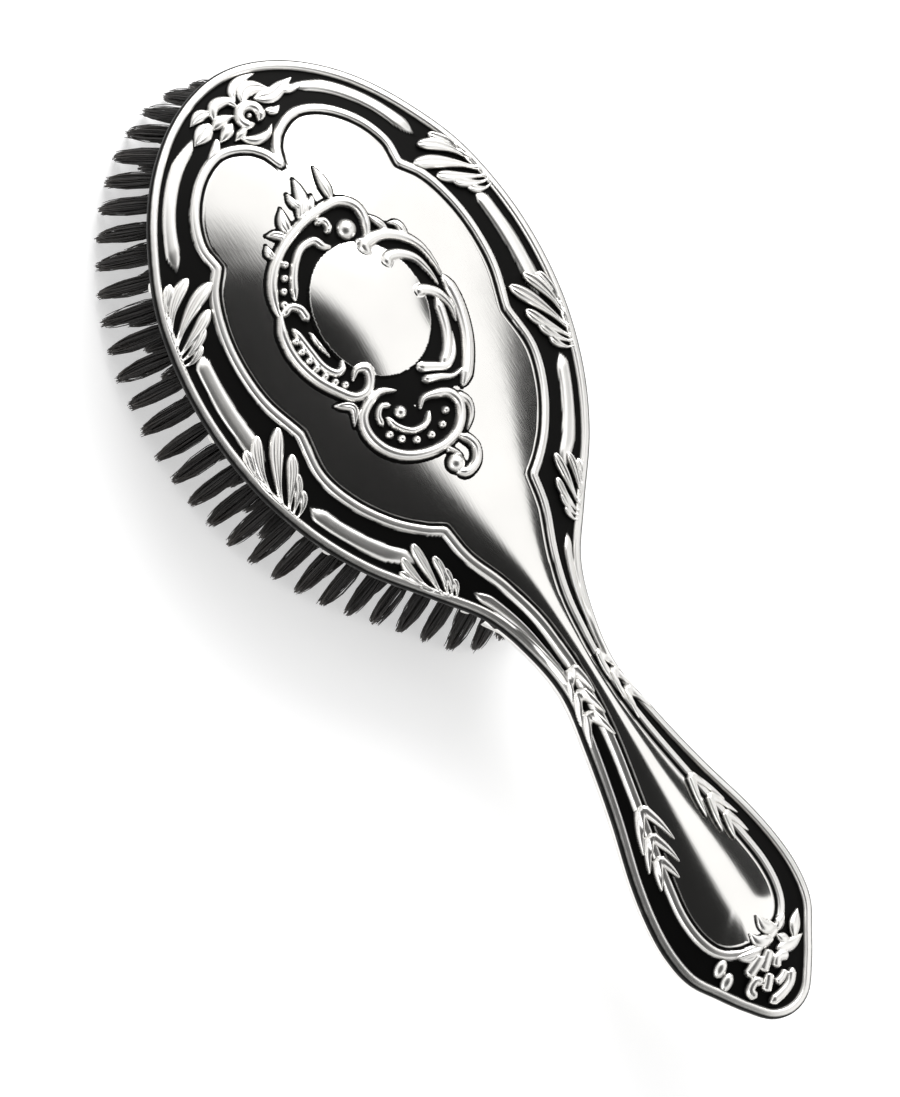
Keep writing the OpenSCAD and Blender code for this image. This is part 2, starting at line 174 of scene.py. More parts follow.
# ---- the struck relief ----
# inner rail, from the heart-shaped point at the head to the end of the handle's panel
RAIL_RUNS = [
    [(23.3, 0), (19.6, 1.6), (16.6, 5), (15.2, 10.5), (17.8, 16.8), (23.5, 22.2), (30, 24.9),
     (35.6, 24.6)],
    [(35.6, 24.6), (40.5, 28.4), (48, 31), (56, 32), (65, 31.4), (74.4, 28.4)],
    [(74.4, 28.4), (84, 29.2), (92.5, 26.4), (100, 21.4), (105, 16.2), (107.6, 12.4)],
    [(107.6, 12.4), (115, 11), (124, 7.2), (134, 4.4), (145, 3.3)],
    [(145, 3.3), (155, 3.5), (165, 4.6), (178, 7), (188, 9)],
    [(188, 9), (197, 10.8), (204, 11.7), (210, 11.2), (214.6, 9.2), (217.4, 5.4), (218.6, 0)],
]
RAIL = np.vstack([catmull(run, 7)[:-1] for run in RAIL_RUNS] + [RAIL_RUNS[-1][-1]])
# the beaded edge: distance in from the outline, half width and rise
BEAD_IN = 1.15
BEAD_HALF = 1.05
BEAD_RISE = 0.6
# where the beaded edge is bright, between its dark outer flank, painted shade that outlines the edge, and the
# sunk ground
BRIGHT_FROM = 0.2
BRIGHT_FADE = 0.65
BRIGHT_TO = 1.9
# depth of the sunk ground, and how far from the outline and the rail's middle it starts and fades in
GROUND = 0.42
GROUND_FROM = 1.6
GROUND_FADE = 0.8
RAIL_FOOT = 0.5
RAIL_FADE = 0.7
# the inner rail, and the fine groove inside it
RAIL_HALF = 1.0
RAIL_RISE = 0.62
LIP_OUT = 0.45
LIP_HALF = 0.5
LIP_DEPTH = 0.16
# the fillet: distance in from the outline, as a distance and as a share of the border, half width and rise
FILLET_IN = 5.7
FILLET_SHARE = 0.47
FILLET_HALF = 1.95
FILLET_RISE = 0.55
# width of the border where the fillet has its full width
FULL_BORDER = 13
# lengths over which a fillet rises and runs out
FILLET_START = 4
FILLET_END = 6
# height of the back's edge above the seam
EDGE_RISE = 1.7
# the crown falls to the handle's rise along the neck, and a little more towards the handle's tip
NECK_FROM = 95
NECK_LENGTH = 45
TAIL_DROP = 0.5
TAIL_FROM = 205
TAIL_LENGTH = 30
DOME_POWER = 1.15
# polish of the tops of ridges; the plain field has 1 and the ground 0
TOP_POLISH = 0.84

# roots of the acanthus clips, as distances along the axis from the head's tip, and their scale
CLIPS = [(48.4, 1.0), (88.5, 1.0), (121.5, 0.74)]
# stretches of the border where the fillet runs, measured the same way
FILLETS = [(8.5, 33.5), (48, 77), (87.5, 112), (121, 152)]


def inside(u, v, outline):
    """Whether points lie inside a closed outline."""
    found = np.zeros(u.shape, bool)
    for (u0, v0), (u1, v1) in zip(outline, [*outline[1:], outline[0]]):
        if u0 != u1:
            found ^= ((u0 <= u) != (u1 <= u)) & (v0 + (u - u0) / (u1 - u0) * (v1 - v0) > v)
    return found


def inside_rail(u, v):
    """Whether points lie in the plain field, inside the inner rail."""
    return inside(u, np.abs(v), RAIL)


def base_height(u, v):
    """The back's plain domed form, above the seam."""
    share = np.clip(inward_share(u, v), 0, 1)
    fall = (HANDLE_RISE - HEAD_RISE) * smooth((u - NECK_FROM) / NECK_LENGTH)
    crown = HEAD_RISE + fall - TAIL_DROP * smooth((u - TAIL_FROM) / TAIL_LENGTH)
    return EDGE_RISE + (crown - EDGE_RISE) * np.sin(0.5 * math.pi * share ** DOME_POWER)


def edge_distances(u, v):
    """Distances from the outline and from the inner rail."""
    return [path_distance(u, np.abs(v), path)[0] for path in (SPARSE_OUTLINE, RAIL)]


def ground_mask(d, r, inner):
    """1 in the sunk ground between the bead and the inner rail, 0 elsewhere."""
    clear = np.where(inner, 0, smooth((r - RAIL_FOOT) / RAIL_FADE))
    return smooth((d - GROUND_FROM) / GROUND_FADE) * clear


def fillet_mask(u):
    """1 along the fillets, 0 between them."""
    parts = [smooth((u - lo) / FILLET_START) * smooth((hi - u) / FILLET_END) for lo, hi in FILLETS]
    return np.maximum.reduce(parts)


def back_surface(u, v):
    """Height of the struck back above the seam, and how polished it is, from 0 to 1, with the bead's outer
    flank left dark as painted shade.
    """
    d, r = edge_distances(u, v)
    inner = inside_rail(u, v)
    z = base_height(u, v)
    bead = bump(d, BEAD_IN, BEAD_HALF) * BEAD_RISE
    rail = bump(r, 0, RAIL_HALF) * RAIL_RISE
    mask = fillet_mask(u)
    half = FILLET_HALF * np.clip((d + r) / FULL_BORDER, 0.4, 1) * np.maximum(mask, 0.05)
    fillet = bump(d, np.minimum(FILLET_IN, FILLET_SHARE * (d + r)), half) * mask * (~inner)
    lip = bump(r, RAIL_HALF + LIP_OUT, LIP_HALF) * inner * LIP_DEPTH
    z = z + bead - GROUND * ground_mask(d, r, inner) + rail - lip
    z = z + np.where(fillet > 0, fillet * (FILLET_RISE + GROUND * 0.6), 0)
    # the bead's outer flank stays dark: painted shade that outlines the edge
    edge = smooth((d - BRIGHT_FROM) / BRIGHT_FADE) * (1 - smooth((d - BRIGHT_TO) / 0.4))
    ridge = np.maximum.reduce([edge, smooth(rail / RAIL_RISE * 1.7), smooth(fillet * 1.7)])
    polish_and_shade = np.maximum(TOP_POLISH * ridge, inner * smooth((r - 1.55) / 0.4))
    return z, polish_and_shade


# ---- strokes of ornament ----
# how far under the surface a relief starts, where nothing is drawn
UNDER = 0.9
# height of the thin dark ground and of the dark skirts of painted shade laid round ornament, and how much a
# skirt falls to its edge
SKIN = 0.07
SKIN_FALL = 0.03
# steepness of the flanks that go under the surface
FLANK = 1.6
# steps of a stroke's curve between two of its points
STROKE_STEPS = 10


def lobe_width(t):
    """Narrow at its root, full near the end, with a round tip."""
    grown = 0.26 + 0.74 * smooth(t / 0.74)
    return np.where(t < 0.74, grown, np.sqrt(np.clip(1 - ((t - 0.74) / 0.26) ** 2, 0, 1)))


def leaf_width(t):
    """A pointed leaf."""
    return np.sin(math.pi * np.clip(t, 0, 1) ** 0.8) ** 0.85


def band_width(t):
    """Even, with tapered ends."""
    return np.clip(np.minimum(t / 0.12, (1 - t) / 0.12), 0, 1) ** 0.5


def dart_width(t):
    """Widest at its root, and drawn out to a point."""
    return np.sqrt(np.clip(t / 0.08, 0, 1)) * np.clip(1 - t, 0, 1) ** 0.55


def raise_to(relief, near, height, polish_and_shade):
    """Raises the part of a relief that near picks out, where height is above what is there."""
    h, p = relief
    higher = height > h[near]
    h[near] = np.where(higher, height, h[near])
    p[near] = np.where(higher, polish_and_shade, p[near])


def with_shade_skirt(within, height, past, shade_skirt):
    """Height of a shape, and past its edge a thin dark skirt of painted shade that outlines it, then a flank
    down under the ground.
    """
    top = np.maximum(height, SKIN * (shade_skirt > 0))
    thin = SKIN - SKIN_FALL * past / max(shade_skirt, 0.01)
    flank = (SKIN - SKIN_FALL) * (shade_skirt > 0) - (past - shade_skirt) * FLANK
    return np.where(within, top, np.where(past < shade_skirt, thin, flank))


def stroke(relief, grid, points, half, rise, shape=lobe_width, vein=0.0, shade_skirt=0.0):
    """Raises a rounded stroke along points, with a groove down its middle if it has a vein."""
    u, v = grid
    path = catmull(points, STROKE_STEPS)
    reach = half * 1.5 + 0.3 + shade_skirt
    lo, hi = path.min(0) - reach, path.max(0) + reach
    near = (u > lo[0]) & (u < hi[0]) & (v > lo[1]) & (v < hi[1])
    d, t = path_distance(u[near], v[near], path)
    width = np.maximum(half * shape(t), 0.05)
    q = d / width
    share = np.sqrt(np.clip(1 - q ** 2.4, 0, 1))
    if vein:
        share = share * (1 - vein * np.exp(-(q / 0.22) ** 2) * smooth(t / 0.15))
    full = rise * (0.55 + 0.45 * np.clip(shape(t), 0, 1))
    height = with_shade_skirt(q < 1, full * share, d - width, shade_skirt)
    raise_to(relief, near, height, TOP_POLISH * np.clip(share * 1.9 - 0.35, 0, 1))


def boss(relief, grid, centre, radius, rise, squash=1.0, turn=0.0, shade_skirt=0.0):
    """Raises a round or oval boss."""
    u, v = grid
    near = np.hypot(u - centre[0], v - centre[1]) < radius * max(1, squash) * 1.4 + 0.3 + shade_skirt
    x, y = u[near] - centre[0], v[near] - centre[1]
    c, s = math.cos(turn), math.sin(turn)
    q = np.hypot(x * c + y * s, (y * c - x * s) / squash) / radius
    share = np.sqrt(np.clip(1 - q * q, 0, 1))
    height = with_shade_skirt(q < 1, rise * share, (q - 1) * radius * min(1, squash), shade_skirt)
    raise_to(relief, near, height, TOP_POLISH * np.clip(share * 1.9 - 0.3, 0, 1))


def oxidised_ground(relief, grid, outline):
    """Lays a thin dark ground inside a closed outline."""
    found = inside(*grid, outline)
    raise_to(relief, found, SKIN, 0.0)


# ---- meshes ----
def to_frame(points):
    """From the brush's own measures, u, v and height above the seam, to metres in the frame."""
    return (points + np.array([TIP_X, 0, SEAM_Z])) * MM


def placed(name, data):
    """A new object in the scene."""
    obj = bpy.data.objects.new(name, data)
    bpy.context.scene.collection.objects.link(obj)
    return obj


def build_mesh(name, verts, faces, material, attributes, replaced=()):
    """A piece from vertices in metres and a list of arrays of triangles or quads."""
    mesh = bpy.data.meshes.new(name)
    mesh.from_pydata(verts.tolist(), [], [face for group in faces for face in group.tolist()])
    mesh.validate()
    for key, values in attributes.items():
        layer = mesh.attributes.new(key, "FLOAT", "POINT")
        layer.data.foreach_set("value", np.asarray(values, np.float32))
    mesh.shade_smooth()
    mesh.materials.append(material)
    obj = placed(name, mesh)
    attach(obj, "root")
    if replaced:
        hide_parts(*replaced)


# a patch of relief: how close to the outline it may come, as a share, where it is cut off under the
# surface, the lowest its top goes, and how deep its underside lies
PATCH_MARGIN = 0.006
PATCH_CUT = -0.32
PATCH_LOWEST = -0.4
PATCH_DEPTH = 0.62
# neighbour of a cell, then the two corners of the cell that its wall on that side joins
WALLS = [((-1, 0), (0, 1), (0, 0)), ((1, 0), (1, 0), (1, 1)),
         ((0, -1), (0, 0), (1, 0)), ((0, 1), (1, 1), (0, 1))]


def fill_corner_touches(cells):
    """Adds cells where two touch only at a corner, so that every edge has two faces."""
    for _ in range(4):
        a, b, c, d = cells[:-1, :-1], cells[1:, 1:], cells[1:, :-1], cells[:-1, 1:]
        corner = (a & b & ~c & ~d) | (c & d & ~a & ~b)
        if not corner.any():
            return
        for view in (a, b, c, d):
            view |= corner


def relief_patch(lo, hi, cell, draw):
    """Vertices, faces and polish of a piece of ornament drawn as a relief over the back's surface, its skirts
    darkened as painted shade.
    """
    nu, nv = (math.ceil((b - a) / cell) + 1 for a, b in zip(lo, hi))
    u, v = np.meshgrid(np.linspace(lo[0], hi[0], nu), np.linspace(lo[1], hi[1], nv), indexing="ij")
    h, polish_and_shade = np.full(u.shape, -UNDER), np.zeros(u.shape)
    draw((h, polish_and_shade), (u, v))
    kept = (h > PATCH_CUT) & (inward_share(u, v) > PATCH_MARGIN)
    cells = kept[:-1, :-1] & kept[1:, :-1] & kept[:-1, 1:] & kept[1:, 1:]
    fill_corner_touches(cells)
    level = base_height(u, v) - GROUND * ground_mask(*edge_distances(u, v), inside_rail(u, v))
    top = np.stack([u, v, level + np.maximum(h, PATCH_LOWEST)], -1).reshape(-1, 3)
    low = np.stack([u, v, level - PATCH_DEPTH], -1).reshape(-1, 3)
    n = nu * nv
    index = np.arange(n).reshape(nu, nv)
    i, j = np.nonzero(cells)
    quad = np.stack([index[i, j], index[i + 1, j], index[i + 1, j + 1], index[i, j + 1]], 1)
    faces = [quad, quad[:, ::-1] + n]
    padded = np.pad(cells, 1)
    for (di, dj), p, q in WALLS:
        edge = cells & ~padded[1 + di:1 + di + cells.shape[0], 1 + dj:1 + dj + cells.shape[1]]
        a, b = np.nonzero(edge)
        first, second = index[a + p[0], b + p[1]], index[a + q[0], b + q[1]]
        faces.append(np.stack([second, first, first + n, second + n], 1))
    shade = np.concatenate([polish_and_shade.ravel(), np.zeros(n)])
    quads = np.vstack(faces)
    used, where = np.unique(quads, return_inverse=True)
    return np.vstack([top, low])[used], where.reshape(quads.shape), shade[used]


def struck_piece(name, parts, sides=(1,), replaced=()):
    """A piece of silver from patches of relief, each on its own side (1) or mirrored over the axis (-1)."""
    verts, quads, shade, n = [], [], [], 0
    for p, q, polish_and_shade in parts:
        for side in sides:
            verts.append(p * (1, side, 1))
            quads.append(q[:, ::side] + n)
            shade.append(polish_and_shade)
            n += len(p)
    build_mesh(name, to_frame(np.vstack(verts)), [np.vstack(quads)], STRUCK,
               {"polish_and_shade": np.concatenate(shade)}, replaced)


# ---- materials ----
def node_adder(tree):
    """A function that adds nodes to a tree."""
    def add(kind, inputs=None, **settings):
        """A node with its inputs set, or linked where the value is another node's output."""
        node = tree.nodes.new(kind)
        for key, value in settings.items():
            setattr(node, key, value)
        for key, value in (inputs or {}).items():
            if hasattr(value, "links"):
                tree.links.new(value, node.inputs[key])
            else:
                node.inputs[key].default_value = value
        return node

    return add


def new_material(name, fixed):
    """A material, its shader with some inputs fixed, a function that adds nodes, and places on the object."""
    mat = bpy.data.materials.new(name)
    mat.use_nodes = True
    shader = mat.node_tree.nodes["Principled BSDF"]
    for key, value in fixed.items():
        shader.inputs[key].default_value = value
    add = node_adder(mat.node_tree)
    return mat, shader, add, add("ShaderNodeTexCoord").outputs["Object"]


def set_surface(mat, shader, colour, roughness, bump_map=None):
    """Links a shader's colour and roughness, and its bumps if it has them."""
    links = mat.node_tree.links
    links.new(colour, shader.inputs["Base Color"])
    links.new(roughness, shader.inputs["Roughness"])
    if bump_map:
        links.new(bump_map, shader.inputs["Normal"])


def noise(add, place, scale, detail, **more):
    """Mottling from 0 to 1."""
    inputs = {"Vector": place, "Scale": scale, "Detail": detail, **more}
    return add("ShaderNodeTexNoise", inputs).outputs["Fac"]


def maths(add, operation, *values):
    """The result of one operation on values or outputs."""
    return add("ShaderNodeMath", dict(enumerate(values)), operation=operation).outputs[0]


def spread(add, value, low, high):
    """A value from 0 to 1, spread from low to high."""
    return add("ShaderNodeMapRange", {"Value": value, "To Min": low, "To Max": high}).outputs[0]


def ramp(add, factor, stops):
    """Colours that blend from stop to stop. Each stop is a place and a colour."""
    node = add("ShaderNodeValToRGB", {"Fac": factor})
    elements = node.color_ramp.elements
    while len(elements) < len(stops):
        elements.new(0.5)
    for element, (place, colour) in zip(elements, stops):
        element.position = place
        element.color = (*colour, 1)
    return node.outputs["Color"]


def bumps(add, height, strength):
    """Fine bumps, two tenths of a millimetre deep at a strength of 1."""
    inputs = {"Height": height, "Strength": strength, "Distance": 0.2 * MM}
    return add("ShaderNodeBump", inputs).outputs["Normal"]


def grey(value):
    """The slightly warm grey of silver."""
    return value, value * 0.985, value * 0.955


def silver_material(name, worn, oxide=None, rough=0.09, satin=0.3):
    """Silver. Struck silver is bright where rubbed, satin on its relief, oxidised in the sunk ground, and
    dark with painted shade on its wall, its bead's outer flank and the skirts round ornament.
    """
    mat, shader, add, place = new_material(name, {"Metallic": 1})
    cloud = noise(add, place, 420, 5, Roughness=0.6)
    broad = noise(add, place, 46, 3, Roughness=0.5)
    tone = ramp(add, broad, [(0.3, (0.92, 0.92, 0.92)), (0.7, (1, 1, 1))])
    if oxide is None:
        colour = ramp(add, cloud, [(0.3, grey(worn * 0.88)), (0.6, grey(worn))])
        scuff = spread(add, broad, rough, satin)
    else:
        # the attribute holds polish and oxide, and painted shade where it is low on the wall, the bead's
        # outer flank and the skirts
        polish_and_shade = add("ShaderNodeAttribute", attribute_name="polish_and_shade").outputs["Fac"]
        patchy = maths(add, "SUBTRACT", cloud, 0.5)
        patchy = maths(add, "MULTIPLY_ADD", patchy, 0.3, polish_and_shade)
        colour = ramp(add, patchy, [(0.12, grey(oxide)), (0.4, grey(worn * 0.3)), (0.68, grey(worn))])
        scuff = ramp(add, polish_and_shade, [(0.0, (0.55,) * 3), (TOP_POLISH, (satin,) * 3), (0.97, (rough,) * 3)])
    mix = add("ShaderNodeMixRGB", {"Fac": 1, "Color1": colour, "Color2": tone}, blend_type="MULTIPLY")
    stretch = {"Vector": place, "Scale": (240, 2600, 2600), "Rotation": (0, 0, 0.5)}
    scratch = noise(add, add("ShaderNodeMapping", stretch).outputs[0], 1, 2)
    lines = maths(add, "MULTIPLY_ADD", cloud, 0.6, scratch)
    haze = maths(add, "MULTIPLY_ADD", cloud, 0.04, scuff)
    set_surface(mat, shader, mix.outputs["Color"], haze, bumps(add, lines, 0.02))
    return mat


def wood_material(name, dark, light, scale):
    """Close-grained wood, thinly waxed, with its grain along the brush."""
    mat, shader, add, place = new_material(name, {"Coat Weight": 0.25, "Coat Roughness": 0.3})
    stretch = {"Vector": place, "Scale": (scale * 0.12, scale, scale)}
    stretched = add("ShaderNodeMapping", stretch).outputs[0]
    grain = noise(add, stretched, 6, 9, Roughness=0.65, Distortion=0.6)
    pores = noise(add, stretched, 40, 3, Roughness=0.7)
    mixed = maths(add, "MULTIPLY_ADD", pores, 0.35, grain)
    between = tuple(0.6 * a + 0.4 * b for a, b in zip(dark, light))
    colour = ramp(add, mixed, [(0.35, dark), (0.6, light), (0.85, between)])
    set_surface(mat, shader, colour, spread(add, mixed, 0.32, 0.55), bumps(add, mixed, 0.2))
    return mat


def plain_material(name, low, high, metallic, rough, scale, relief=0.15):
    """One substance with fine mottling between two colours."""
    mat, shader, add, place = new_material(name, {"Metallic": metallic})
    cloud = noise(add, place, scale, 6, Roughness=0.6)
    colour = ramp(add, cloud, [(0.3, low), (0.7, high)])
    set_surface(mat, shader, colour, spread(add, cloud, rough - 0.08, rough + 0.1), bumps(add, cloud, relief))
    return mat


def bristle_material():
    """Boar bristle: near black at the board and paling to split, dusty tips."""
    mat, shader, add, place = new_material("boar_bristle", {"Specular IOR Level": 0.3})
    along = add("ShaderNodeAttribute", attribute_name="along").outputs["Fac"]
    tone = add("ShaderNodeAttribute", attribute_name="tone").outputs["Fac"]
    fleck = noise(add, place, 900, 2)
    shift = 0
    for part, share in ((along, 0.6), (tone, 0.3), (fleck, 0.1)):
        shift = maths(add, "MULTIPLY_ADD", part, share, shift)
    colour = ramp(add, shift, [(0.25, (0.004, 0.0035, 0.003)), (0.6, (0.012, 0.010, 0.009)),
                               (0.85, (0.03, 0.025, 0.021)), (0.98, (0.13, 0.11, 0.095))])
    set_surface(mat, shader, colour, spread(add, along, 0.34, 0.6))
    return mat


STRUCK = silver_material("struck_silver", 0.92, oxide=0.008)
BAND = silver_material("band_silver", 0.88, rough=0.14, satin=0.24)
STEEL = plain_material("tang_steel", (0.24, 0.24, 0.25), (0.42, 0.42, 0.43), 1, 0.4, 300)
PITCH = plain_material("pitch_cement", (0.012, 0.009, 0.008), (0.045, 0.03, 0.022), 0, 0.5, 260, relief=0.4)
BRASS = plain_material("drawing_wire", (0.5, 0.34, 0.12), (0.72, 0.52, 0.22), 1, 0.3, 500)
BOARD_WOOD = wood_material("board_wood", (0.022, 0.012, 0.008), (0.085, 0.045, 0.026), 42)
VENEER_WOOD = wood_material("veneer_wood", (0.11, 0.06, 0.03), (0.26, 0.15, 0.08), 60)
BRISTLE = bristle_material()


# ---- the struck back shell ----
def inward(path):
    """Unit vectors pointing into the body, for the +v half outline."""
    along = np.gradient(path, axis=0)
    n = np.stack([along[:, 1], -along[:, 0]], 1)
    n /= np.linalg.norm(n, axis=1)[:, None]
    n[0], n[-1] = (1, 0), (-1, 0)
    return n


def rim_path(count):
    """Points spread along the half outline, closer together where it is more curved."""
    path = resample(OUTLINE, 3000)
    along = np.gradient(path, axis=0)
    turn = np.abs(np.gradient(np.unwrap(np.arctan2(along[:, 1], along[:, 0]))))
    closeness = 1 + 9 * np.minimum(turn[1:] / turn[1:].mean() * 0.1, 0.6)
    weight = np.concatenate([[0], np.cumsum(closeness)])
    return at_places(path, np.interp(np.linspace(0, weight[-1], count), weight, np.arange(len(path))))


def lofted_rings(rings, axis_ring, flip=False):
    """Vertices, faces and first ring over half rings of u, v and height, mirrored and closed on the axis."""
    m = len(rings[0])
    mirror = np.arange(m - 2, 0, -1)
    verts, n = [], 2 * m - 2
    for ring in rings:
        verts += [ring, ring[mirror] * (1, -1, 1)]
    # neighbours at one place on the axis share a point
    fresh = np.abs(np.diff(axis_ring[:, 0], prepend=-1)) > 1e-4
    verts.append(axis_ring[fresh])
    ids = len(rings) * n + np.cumsum(fresh) - 1
    rows = [np.arange(n) + r * n for r in range(len(rings))] + [np.concatenate([ids, ids[mirror]])]
    quads = np.vstack([np.stack([a, np.roll(a, -1), np.roll(b, -1), b], 1) for a, b in zip(rows, rows[1:])])
    same = quads[:, 2] == quads[:, 3]
    faces = [quads[~same], quads[same, :3]]
    if flip:
        faces = [f[:, ::-1] for f in faces]
    return np.vstack(verts), faces, rows[0]


def rail_crossings(rim, target):
    """Share of the way from rim to target at which each rib first meets the rail."""
    f = np.linspace(0.02, 0.9, 260)
    u = rim[:, 0, None] + (target[:, 0] - rim[:, 0])[:, None] * f
    v = rim[:, 1, None] * (1 - f)
    hit = inside_rail(u, v)
    return f[np.where(hit.any(1), hit.argmax(1), len(f) - 1)]


RIBS = 540
# rings of the shell's wall: inset from the outline, height above the seam, and polish. Their low polish is
# painted shade that outlines the edge under the bead, with some tarnish in the seam
WALL = [(0.5, 0, 0.02), (0.16, 0.3, 0.08), (0.0, 0.85, 0.12), (0.04, 1.35, 0.14)]
# distances in from the outline of the rings over the beaded edge
BEAD_RINGS = [0.12, 0.3, 0.55, 0.85, 1.15, 1.45, 1.75, 2.0, 2.3]
# numbers of rings outside the inner rail, across it and inside it, and half the width of the middle zone
RINGS_OUT, RINGS_ON, RINGS_IN = 26, 20, 16
RAIL_ZONE = 1.9
# the shell's underside: inset and height of its lowest rings, inset where its dome starts, and its depth
UNDER_EDGE = [(1.5, 0.0), (1.7, 0.5)]
UNDER_START = 2.6
SHELL_DEPTH = 1.15


def wall_ring(rim, normal, inset, height):
    """A ring of the shell's edge, inset from the outline and at one height."""
    return np.column_stack([rim + normal * inset, np.full(len(rim), height)])


def field_shares(rim, target, last):
    """Shares of the way from the beaded edge to the axis, closest together round the inner rail."""
    cross = rail_crossings(rim, target)
    cross = np.convolve(np.pad(cross, 2, mode="edge"), np.ones(5) / 5, "valid")
    reach = np.hypot(*(target - last).T)
    ribs = np.hypot(*(target - rim).T)
    rail_at = np.clip((cross * ribs - BEAD_RINGS[-1]) / reach, 0.12, 0.9)
    half = RAIL_ZONE / reach
    before, after = np.clip(rail_at - half, 0.06, 1), np.clip(rail_at + 1.8 * half, 0, 0.95)
    shares = [before * k / RINGS_OUT for k in range(1, RINGS_OUT + 1)]
    shares += [before + (after - before) * k / RINGS_ON for k in range(1, RINGS_ON + 1)]
    return shares + [after + (1 - after) * (k / RINGS_IN) for k in range(1, RINGS_IN)]


def outer_skin(rim, normal, target):
    """Vertices, faces, lower edge and polish of the shell's outside, with painted shade on its wall and the
    bead's outer flank.
    """
    beads = [rim + normal * d for d in BEAD_RINGS]
    last = beads[-1]
    field = [last + (target - last) * share[:, None] for share in field_shares(rim, target, last)]
    grid = np.array(beads + field + [target])
    z, polish_and_shade = back_surface(grid[..., 0], grid[..., 1])
    surface = np.concatenate([grid, z[..., None]], -1)
    rings = [wall_ring(rim, normal, inset, height) for inset, height, _ in WALL]
    verts, faces, edge = lofted_rings(rings + list(surface[:-1]), surface[-1])
    # the wall's low polish paints a dark outline of shade under the bead, with some tarnish in the seam
    shade = [np.full(len(edge), worn) for _, _, worn in WALL]
    shade = np.concatenate(shade + [np.concatenate([p, p[-2:0:-1]]) for p in polish_and_shade[:-1]])
    return verts, faces, edge, np.concatenate([shade, np.full(len(verts) - len(shade), 0.95)])


def inner_skin(rim, normal, target):
    """Vertices, faces and lower edge of the shell's inside, a plain dome under the struck one."""
    def dome(p):
        return np.column_stack([p, base_height(*p.T) - SHELL_DEPTH])

    start = rim + normal * UNDER_START
    rings = [wall_ring(rim, normal, inset, height) for inset, height in UNDER_EDGE]
    rings += [dome(start + (target - start) * share) for share in (0, 0.18, 0.4, 0.65, 0.85)]
    return lofted_rings(rings, dome(target), flip=True)


def back_shell():
    """The struck back with its edge, rail, ground and fillets, as a closed sheet."""
    rim = rim_path(RIBS)
    normal = inward(rim)
    target = np.stack([np.clip(rim[:, 0], HEAD_C, TAIL_C), 0 * rim[:, 0]], 1)
    verts, faces, edge, shade = outer_skin(rim, normal, target)
    low_verts, low_faces, low_edge = inner_skin(rim, normal, target)
    n = len(verts)
    lip = np.stack([edge, low_edge + n, np.roll(low_edge, -1) + n, np.roll(edge, -1)], 1)
    quads = np.vstack([faces[0], low_faces[0] + n, lip])
    tris = np.vstack([faces[1], low_faces[1] + n])
    shade = np.concatenate([shade, np.full(len(low_verts), 0.2)])
    build_mesh("struck_back", to_frame(np.vstack([verts, low_verts])), [quads, tris], STRUCK,
               {"polish_and_shade": shade}, ["back_shell"])


back_shell()


# ---- struck ornament ----
ARC = arc_lengths(OUTLINE)
NORMALS = inward(OUTLINE)
BOTH_SIDES = (1, -1)


def border_point(run, inset):
    """A point at a distance along the half outline, and a distance in from it."""
    place = np.interp(run, ARC, np.arange(len(ARC)))
    return at_places(OUTLINE, place) + at_places(NORMALS, place) * inset


# acanthus lobes, from the clip's root towards the head: (distance, inset) points, half width and rise
CLIP_LOBES = [
    ([(-3, 1.5), (4, 1.7), (11, 1.6)], 0.8, 1.0),
    ([(10, 1.7), (13, 2.3), (17.5, 3.8)], 1.15, 1.35),
    ([(6.5, 1.7), (11, 3.2), (15, 5.2), (18.5, 7.6)], 1.55, 1.65),
    ([(3.5, 1.9), (7, 4.4), (12, 8.2), (17, 12.2)], 1.75, 1.8),
    ([(1.5, 2.0), (3.4, 4.6), (6.2, 8), (9.8, 10.8)], 1.5, 1.65),
    ([(0.3, 2.1), (1.2, 4.2), (3, 6.6), (5.8, 8.8)], 1.25, 1.5),
    ([(-1, 2.1), (-0.8, 3.6), (0.2, 5.4), (2, 6.9)], 1.0, 1.35),
]


def acanthus_clips():
    """Three pairs of leaf clips over the border, with their lobes fanned towards the head."""
    parts = []
    for root, size in CLIPS:
        run = np.interp(root, OUTLINE[:, 0], ARC)
        strokes = []
        for points, half, rise in CLIP_LOBES:
            path = [border_point(run - s * size, d * size) for s, d in points]
            strokes.append((path, half * size, rise * (0.4 + 0.6 * size)))
        spots = np.array([p for points, _, _ in strokes for p in points])

        def draw(relief, grid):
            for points, half, rise in strokes:
                stroke(relief, grid, points, half, rise, vein=0.3)

        parts.append(relief_patch(spots.min(0) - 2, spots.max(0) + 2, 0.2, draw))
    struck_piece("acanthus_clips", parts, BOTH_SIDES)


